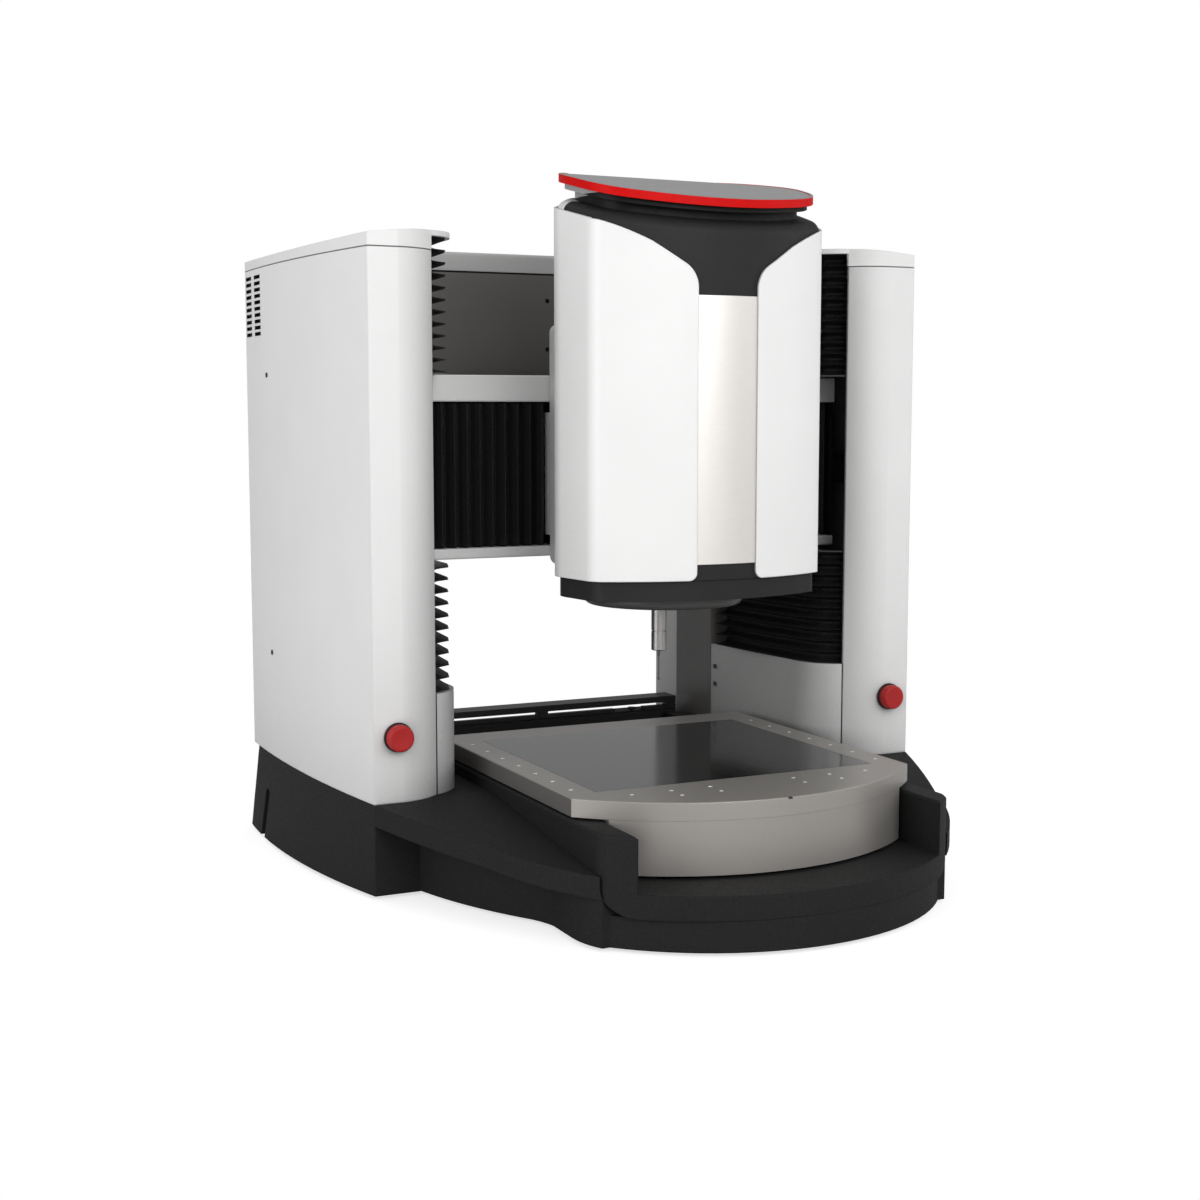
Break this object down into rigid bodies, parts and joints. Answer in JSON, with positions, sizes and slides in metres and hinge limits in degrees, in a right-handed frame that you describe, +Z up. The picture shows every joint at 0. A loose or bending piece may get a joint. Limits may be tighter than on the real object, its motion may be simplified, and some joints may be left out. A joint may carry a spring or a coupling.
{
  "type": "vision measuring machine",
  "caption": "free-standing optical coordinate measuring machine: a heavy base with a sliding glass stage, two columns and a beam that lifts a traversing camera head with a touch probe",
  "frame": {"origin": "on the bench, under the middle of the machine's outline", "axes": "+Z up, +Y from the operator to the back, +X to the operator's right"},
  "size_m": [1.051, 1.063, 1.0865],
  "materials": {
    "white_paint": "satin powder coat",
    "light_grey_paint": "satin",
    "warm_dark_paint": "satin",
    "black_casting": "fine textured paint",
    "rubber_foot": "matte",
    "black_plastic": "matte",
    "gloss_black": "glossy, moulded",
    "bellows_cloth": "coated cloth",
    "bright_steel": "ground",
    "dark_steel": "blackened",
    "black_aluminium": "black anodised",
    "champagne_metal": "brushed and bowed",
    "red_gloss": "glossy",
    "red_cap": "satin",
    "lid_grey": "satin",
    "grey_disc": "satin",
    "lamp_ring": "frosted",
    "lens_glass": "coated",
    "satin_nickel": "satin",
    "stylus_dark": "satin, ruby ball",
    "stage_steel": "brushed",
    "stage_glass": "polished plate",
    "pale_insert": "matte"
  },
  "bodies": {
    "frame": {"base_casting": "black_casting", "front_surround": "black_casting", "leveling_feet": "rubber_foot", "rear_cross_rail": "black_casting", "guard_bar": "black_casting", "portal_frame": "warm_dark_paint", "portal_panel": "warm_dark_paint", "portal_rear_cover": "light_grey_paint", "column_cover_left": "white_paint", "column_cover_right": "white_paint", "column_caps": "white_paint", "boot_covers": "white_paint", "cover_screws": "bright_steel", "vent_mesh": "black_plastic", "upper_bellows": "bellows_cloth", "lower_bellows": "bellows_cloth", "guide_rails": "bright_steel", "screw_bearings": "dark_steel", "drive_motors": "black_plastic", "emergency_stop_bodies": "black_plastic", "power_inlet": "black_plastic"},
    "beam": {"beam_body": "black_casting", "beam_upper_rail": "light_grey_paint", "beam_lower_rail": "light_grey_paint", "bellows_frames": "dark_steel", "upright_carriages": "dark_steel", "upright_nuts": "dark_steel", "side_rails": "bright_steel", "side_motor": "black_plastic", "side_bellows": "bellows_cloth"},
    "head": {"head_shell": "gloss_black", "head_cover_left": "white_paint", "head_cover_right": "white_paint", "head_rear_cover": "light_grey_paint", "head_strip": "champagne_metal", "lid_rim": "red_gloss", "lid_panel": "lid_grey", "lid_tray": "gloss_black", "carriage_plate": "light_grey_paint", "side_carriages": "dark_steel", "optics_tube": "black_aluminium", "camera_module": "black_aluminium", "light_housing": "grey_disc", "ring_light": "lamp_ring", "objective_lens": "lens_glass", "probe_body": "satin_nickel"},
    "stage": {"stage_plate": "stage_steel", "stage_glass": "stage_glass", "stage_apron": "stage_steel", "stage_inserts": "pale_insert", "stage_saddle": "black_aluminium", "stage_carriages": "dark_steel"},
    "upright_screw_left": {"upright_screw_left": "bright_steel"},
    "upright_screw_right": {"upright_screw_right": "bright_steel"},
    "side_screw": {"side_screw": "bright_steel"},
    "stage_screw": {"stage_screw": "bright_steel"},
    "stop_cap_left": {"stop_cap_left": "red_cap"},
    "stop_cap_right": {"stop_cap_right": "red_cap"},
    "stylus_socket": {"stylus_socket": "satin_nickel"},
    "stylus": {"stylus": "stylus_dark"}
  },
  "joints": [
    {"name": "z_axis", "type": "slide", "parent": "frame", "child": "beam", "axis": [0, 0, 1], "range_m": [-0.115, 0.135], "deforming": ["upper_bellows", "lower_bellows"]},
    {"name": "x_axis", "type": "slide", "parent": "beam", "child": "head", "axis": [1, 0, 0], "range_m": [-0.185, 0.195], "deforming": ["side_bellows"]},
    {"name": "y_axis", "type": "slide", "parent": "frame", "child": "stage", "axis": [0, 1, 0], "range_m": [-0.212, 0.212]},
    {"name": "upright_screw_left_turn", "type": "hinge", "parent": "frame", "child": "upright_screw_left", "pos_m": [-0.396, 0.294, 0.626], "axis": [0, 0, 1], "range_deg": [-4200, 4920]},
    {"name": "upright_screw_right_turn", "type": "hinge", "parent": "frame", "child": "upright_screw_right", "pos_m": [0.396, 0.294, 0.626], "axis": [0, 0, 1], "range_deg": [-4200, 4920]},
    {"name": "side_screw_turn", "type": "hinge", "parent": "beam", "child": "side_screw", "pos_m": [0, 0.16, 0.621], "axis": [1, 0, 0], "range_deg": [-3400, 3600]},
    {"name": "stage_screw_turn", "type": "hinge", "parent": "frame", "child": "stage_screw", "pos_m": [0, -0.065, 0.07], "axis": [0, 1, 0], "range_deg": [-3900, 3900]},
    {"name": "stop_left_press", "type": "slide", "parent": "frame", "child": "stop_cap_left", "axis": [0, 1, 0], "range_m": [0, 0.004], "stiffness_N_per_m": 1500, "springref_m": -0.003},
    {"name": "stop_right_press", "type": "slide", "parent": "frame", "child": "stop_cap_right", "axis": [0, 1, 0], "range_m": [0, 0.004], "stiffness_N_per_m": 1500, "springref_m": -0.003},
    {"name": "stylus_tilt_x", "type": "hinge", "parent": "head", "child": "stylus_socket", "pos_m": [-0.034, -0.1025, 0.36], "axis": [1, 0, 0], "range_deg": [-8, 8], "stiffness_Nm_per_rad": 0.05},
    {"name": "stylus_tilt_y", "type": "hinge", "parent": "stylus_socket", "child": "stylus", "pos_m": [-0.034, -0.1025, 0.36], "axis": [0, 1, 0], "range_deg": [-8, 8], "stiffness_Nm_per_rad": 0.05}
  ],
  "couplings": [
    {"joint": "upright_screw_left_turn", "follows": "z_axis", "rad_per_m": 628.32},
    {"joint": "upright_screw_right_turn", "follows": "z_axis", "rad_per_m": 628.32},
    {"joint": "side_screw_turn", "follows": "x_axis", "rad_per_m": 314.16},
    {"joint": "stage_screw_turn", "follows": "y_axis", "rad_per_m": 314.16}
  ]
}
